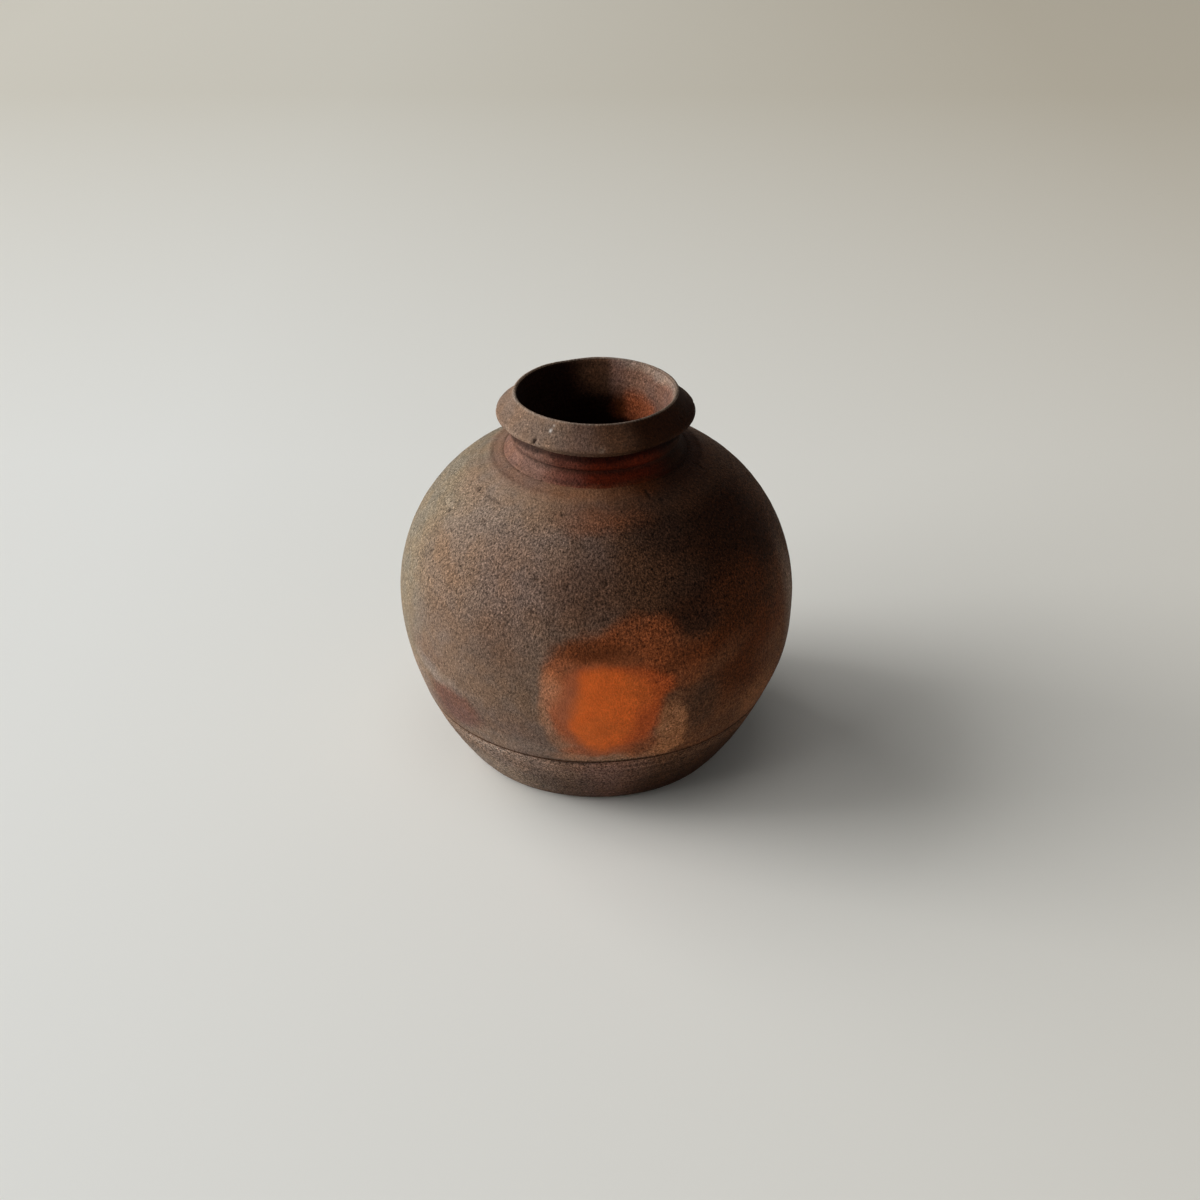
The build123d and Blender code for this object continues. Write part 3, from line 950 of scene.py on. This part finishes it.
# Colours round the pieces, as azimuth in degrees and colour: the globe's low, middle and high parts, the top
# of the shoulder, the foot, the neck, the rim, and the inside near the mouth and below it. Outside, the
# colours grow darker towards the right side, away from the lamps: partly the clay's own dark, partly painted
# shade.
LOW_STOPS = (
    (-180, "stone"), (-120, "olive_ash"), (-75, "pale_ash"), (-52, "stone"), (-20, "plum_grey"), (8, "tan"),
    (28, "russet"), (55, "russet"), (90, "umber"), (135, "plum_grey"),
)
MIDDLE_STOPS = (
    (-180, "plum_grey"), (-125, "olive_ash"), (-72, "olive_ash"), (-50, "stone"), (-15, "stone"),
    (20, "russet"), (45, "rust"), (65, "russet"), (95, "umber"), (140, "plum_grey"),
)
HIGH_STOPS = (
    (-180, "plum_grey"), (-125, "olive_ash"), (-70, "olive_ash"), (-45, "stone"), (-22, "plum_grey"),
    (0, "grape"), (12, "umber"), (30, "soot"), (60, "soot"), (95, "umber"), (140, "plum_grey"),
)
SHOULDER_STOPS = (
    (-180, "plum_grey"), (-75, "bisque"), (-40, "bisque"), (-22, "toast"), (-2, "toast"), (12, "russet"),
    (28, "rust"), (48, "soot"), (100, "soot"), (140, "umber"),
)
FOOT_STOPS = (
    (-180, "plum_grey"), (-120, "stone"), (-50, "stone"), (-30, "foot_pale"), (-12, "plum_grey"),
    (4, "neck_brown"), (22, "umber"), (45, "umber"), (70, "umber"), (120, "umber"),
)
NECK_STOPS = (
    (-180, "wine"), (-120, "neck_brown"), (-45, "neck_brown"), (-20, "wine"), (0, "dark_wine"),
    (28, "dark_wine"), (60, "dark_plum"), (95, "dark_plum"), (130, "umber"),
)
RIM_STOPS = (
    (-180, "stone"), (-75, "stone"), (-30, "stone"), (-8, "grape"), (12, "umber"),
    (32, "dark_plum"), (85, "dark_plum"), (115, "umber"), (150, "plum_grey"),
)
# The near black inside is painted shadow
MOUTH_STOPS = (
    (-180, "umber"), (-155, "char"), (0, "char"), (60, "neck_brown"), (110, "neck_brown"), (138, "bisque"),
    (163, "neck_brown"), (174, "umber"),
)
DEEP_STOPS = (
    (-180, "char"), (70, "neck_brown"), (116, "neck_brown"), (132, "dusk"), (148, "dusk"), (159, "rust"),
    (171, "char"),
)


def globe_finish():
    """Outside of the globe, with the fire's flashes, ash and smoke, darker to the right partly by painted
    shade, and a painted sheen low on the right.
    """
    finish = Finish("globe_clay", LOW_STOPS)
    x, y, z = finish.x, finish.y, finish.z
    finish.lay(finish.around(MIDDLE_STOPS), finish.ease(z, 27, 38))
    finish.lay(finish.around(HIGH_STOPS), finish.ease(z, 50, 62))
    finish.marks(GLOBE_MARKS)
    radius = finish.maths("SQRT", finish.maths("MULTIPLY_ADD", x, x, finish.product(y, y)))
    near_neck = finish.product(finish.ease(radius, 27.6, 23.6, 0, 0.75), finish.ease(z, 74, 76))
    finish.lay(finish.around(SHOULDER_STOPS), near_neck)
    # Painted shade in the pits, and in the line round the foot its own dark with painted shade
    finish.lay("pit", finish.mask("pit", 0.85))
    finish.lay("pit", finish.mask("line_dark_and_shade", 0.85))
    belly = finish.ease(z, 60, 44, 0, 0.35)
    shoulder = finish.product(finish.ease(radius, 34, 25, 0, 0.5), finish.ease(z, 70, 74))
    lee_side = finish.ease(x, -5, 15, 0, -0.3)
    flash = finish.area(4, 37, 12, 14.5, 0, 0.25, 0.5)
    gritty = finish.area(-28, 57, 7, 4, 0, 0.5, 0.5)
    return finish.clay(finish.total(belly, shoulder, lee_side, flash), gritty=finish.total(gritty, 0.10))


def foot_finish():
    """Outside of the foot: trimmed clay with turning lines, a rough patch and a worn edge."""
    finish = Finish("foot_clay", FOOT_STOPS)
    # Darker towards the bottom of the foot: partly painted shade low on the wall, where it turns towards the
    # table
    finish.shade(0.68, finish.ease(finish.z, 15, 8))
    finish.shade(1.36, finish.ease(finish.z, 13, 17))
    finish.marks(FOOT_MARKS)
    flakes = finish.ease(finish.noise(size=0.7, seed=9, detail=1.0, stretch=(1, 1, 1.6)), 0.42, 0.55, 0, 0.8)
    finish.lay("pale_ash", finish.product(finish.mask("crackle"), flakes))
    # Painted shade in the pits, and in the line round the foot its own dark with painted shade
    finish.lay("pit", finish.mask("pit"))
    finish.lay("pit", finish.mask("line_dark_and_shade", 0.85))
    underneath = finish.ease(finish.split(finish.place)[2], 0.1, 1.6, 0.55, 0)
    finish.lay("stone", underneath)
    finish.lay("umber", finish.product(finish.mask("edge_tone"), finish.noise(size=1.5, seed=8)))
    return finish.clay(grain=1.2, lines=1.8)


def neck_finish():
    """Outside of the neck: reddened clay with fine turning lines, painted shade in its grooves and a painted
    shadow under the flange.
    """
    finish = Finish("neck_clay", NECK_STOPS)
    finish.lay(finish.around(SHOULDER_STOPS), finish.ease(finish.z, 80.4, 78.4, 0, 0.7))
    # Painted shadow under the flange: the ring is darkened below the flange's edge
    finish.shade(0.35, finish.ease(finish.z, 84.2, 85.5))
    # Painted shade in the groove and the step
    finish.lay("pit", finish.mask("hollow", 0.55))
    return finish.clay(grain=0.6, lines=1.3, gritty=0.03)


def rim_finish():
    """Outside of the rim: grey-brown clay, paler on the lip and at the chips, and on the flange's edge, where
    a highlight is painted.
    """
    finish = Finish("rim_clay", RIM_STOPS)
    # Lighter on the flange's edge, where a highlight is painted, and at the worn chips
    finish.shade(1.55, finish.mask("edge_tone", 0.55))
    finish.lay("pale_ash", finish.mask("nick", 0.45))
    finish.lay("pale_ash", finish.mask("lip", 0.6))
    finish.lay("pit", finish.mask("pit"))
    finish.lay("grit", finish.mask("fleck"))
    return finish.clay(grain=0.65, lines=0.8, gritty=0.10)


def inside_finish():
    """Inside: pinkish throwing clay near the mouth, darker and redder below, with painted shadow on the left
    and deep down. All sections share it.
    """
    found = bpy.data.materials.get("inside_clay")
    if found:
        return found
    finish = Finish("inside_clay", MOUTH_STOPS)
    finish.lay(finish.around(DEEP_STOPS), finish.ease(finish.z, 88.3, 83.6))
    pale_side = finish.product(finish.ease(finish.x, 2, 12), finish.ease(finish.z, 91.0, 93.3, 0, 0.7))
    finish.lay("pale_ash", pale_side)
    # Painted shadow deep in the jar, below the neck
    finish.lay("char", finish.ease(finish.z, 81, 78))
    finish.lay("umber", finish.ease(finish.z, 60, 30))
    return finish.clay(grain=0.7, lines=1.2, gritty=0.04)


# Each lamp: name, azimuth and elevation in degrees, and power in watts. All are square and equally far away
LAMPS = (
    ("window_low", -95, 12, 250.0),
    ("window_high", -95, 38, 104.0),
    ("window_back", -125, 38, 76.0),
    ("room_left", -65, 25, 76.0),
    ("ceiling", 0, 88, 22.0),
)
LAMP_DISTANCE, LAMP_SIZE, LAMP_TARGET = 5.5, 2.75, (0, 0, 0.04)
# The camera looks down and turns by degrees, and its lens and sensor are in millimetres
CAMERA_PLACE, CAMERA_DOWN, CAMERA_TURN = (0, -0.3413, 0.2458), 31.5, -0.167
CAMERA_LENS, CAMERA_SENSOR = 48, 36
FLOOR_RADIUS, FLOOR_CORNERS = 1.7, 180
# The table's colours on both sides, with painted light: lighter and cooler on the lit left, darker and warmer
# on the shaded right. And the painted shade that its far end and its end by the window are multiplied with
TABLE_LIT_LEFT, TABLE_SHADED_RIGHT = (0.825, 0.828, 0.795, 1), (0.700, 0.670, 0.597, 1)
TABLE_FAR_SHADE, TABLE_WINDOW_SHADE = (0.78, 0.745, 0.68, 1), (0.42, 0.42, 0.42, 1)
# The room's light at the horizon and overhead, and the wall that the camera sees
ROOM_LOW, ROOM_HIGH, ROOM_WALL = 0.42, 0.10, (0.62, 0.60, 0.56, 1)


def toward(azimuth, elevation, distance):
    """Place at an azimuth and an elevation in degrees, as seen from the jar."""
    turn, rise = math.radians(azimuth), math.radians(elevation)
    out = distance * math.cos(rise)
    return Vector((out * math.sin(turn), -out * math.cos(turn), distance * math.sin(rise)))


def table_finish():
    """Pale table with painted light: lighter and cooler on the lit left, darker and warmer on the shaded
    right, and painted darker at its far end and by the window, where the lamps light it most.
    """
    material = new_material("pale_floor")
    nodes = Nodes(material.node_tree)
    x, y, _ = nodes.split(nodes.add("ShaderNodeTexCoord", outlet="Object"))
    colour = nodes.blend(TABLE_LIT_LEFT, TABLE_SHADED_RIGHT, nodes.slope(x, -0.15, 0.30))
    colour = nodes.blend(colour, TABLE_FAR_SHADE, nodes.slope(y, 0.15, 0.65), kind="MULTIPLY")
    colour = nodes.blend(colour, TABLE_WINDOW_SHADE, nodes.slope(x, -0.4, -1.6), kind="MULTIPLY")
    shader = nodes.tree.nodes["Principled BSDF"]
    nodes.feed(shader, {"Base Color": colour, "Roughness": 0.9, "Specular IOR Level": MATTE})
    return material


class StageAndLight(bpy.types.Operator):
    """Builds the pale floor, the window light, the fill and the camera"""

    bl_idname = "jar.stage"
    bl_label = "Stage, light and camera"

    def execute(self, context):
        scene = context.scene
        mesh = bpy.data.meshes.new("floor")
        turns = [math.radians(corner * 360 / FLOOR_CORNERS) for corner in range(FLOOR_CORNERS)]
        edge = [(FLOOR_RADIUS * math.cos(turn), FLOOR_RADIUS * math.sin(turn), 0) for turn in turns]
        mesh.from_pydata(edge, [], [range(len(edge))])
        mesh.materials.append(table_finish())
        floor = bpy.data.objects.new("floor", mesh)
        scene.collection.objects.link(floor)

        for name, azimuth, elevation, power in LAMPS:
            light = bpy.data.lights.new(name, "AREA")
            light.shape = "RECTANGLE"
            light.size = light.size_y = LAMP_SIZE
            light.energy = power
            lamp = bpy.data.objects.new(name, light)
            lamp.location = toward(azimuth, elevation, LAMP_DISTANCE)
            lamp.rotation_euler = (Vector(LAMP_TARGET) - lamp.location).to_track_quat("-Z", "Y").to_euler()
            scene.collection.objects.link(lamp)

        world = scene.world or bpy.data.worlds.new("room")
        scene.world = world
        world.use_nodes = True
        nodes = Nodes(world.node_tree)
        rise = nodes.split(nodes.add("ShaderNodeTexCoord", outlet="Generated"))[2]
        seen = nodes.add("ShaderNodeLightPath", outlet="Is Camera Ray")
        room = nodes.blend(nodes.slope(rise, 0, 0.6, ROOM_LOW, ROOM_HIGH), ROOM_WALL, seen)
        nodes.feed(world.node_tree.nodes["Background"], {"Color": room})

        lens = bpy.data.cameras.new("camera")
        lens.lens, lens.sensor_width = CAMERA_LENS, CAMERA_SENSOR
        camera = bpy.data.objects.new("camera", lens)
        camera.location = CAMERA_PLACE
        camera.rotation_euler = (math.radians(90 - CAMERA_DOWN), 0, math.radians(CAMERA_TURN))
        scene.collection.objects.link(camera)
        scene.camera = camera
        scene.view_settings.view_transform = "Standard"
        return {"FINISHED"}


class JarPanel(bpy.types.Panel):
    """Sizes, colours and steps of the jar"""

    bl_idname = "VIEW3D_PT_jar"
    bl_label = "Wood-fired jar"
    bl_space_type = "VIEW_3D"
    bl_region_type = "UI"
    bl_category = "Jar"

    def draw(self, context):
        layout = self.layout
        for name in JarShape.__annotations__:
            layout.prop(context.scene.jar_shape, name)
        for name in FiredColours.__annotations__:
            layout.prop(context.scene.fired_colours, name)
        for step in STEPS:
            layout.operator(step.bl_idname)


STEPS = (FootSection, BodySection, NeckSection, RimSection, StageAndLight)
CLASSES = (JarShape, FiredColours, *STEPS, JarPanel)


def register():
    for kind in CLASSES:
        bpy.utils.register_class(kind)
    bpy.types.Scene.jar_shape = PointerProperty(type=JarShape)
    bpy.types.Scene.fired_colours = PointerProperty(type=FiredColours)


def unregister():
    del bpy.types.Scene.fired_colours
    del bpy.types.Scene.jar_shape
    for kind in reversed(CLASSES):
        bpy.utils.unregister_class(kind)


def main():
    register()
    bpy.ops.jar.foot()
    bpy.ops.jar.body()
    bpy.ops.jar.neck()
    bpy.ops.jar.rim()
    bpy.ops.jar.stage()


if __name__ == "__main__":
    main()
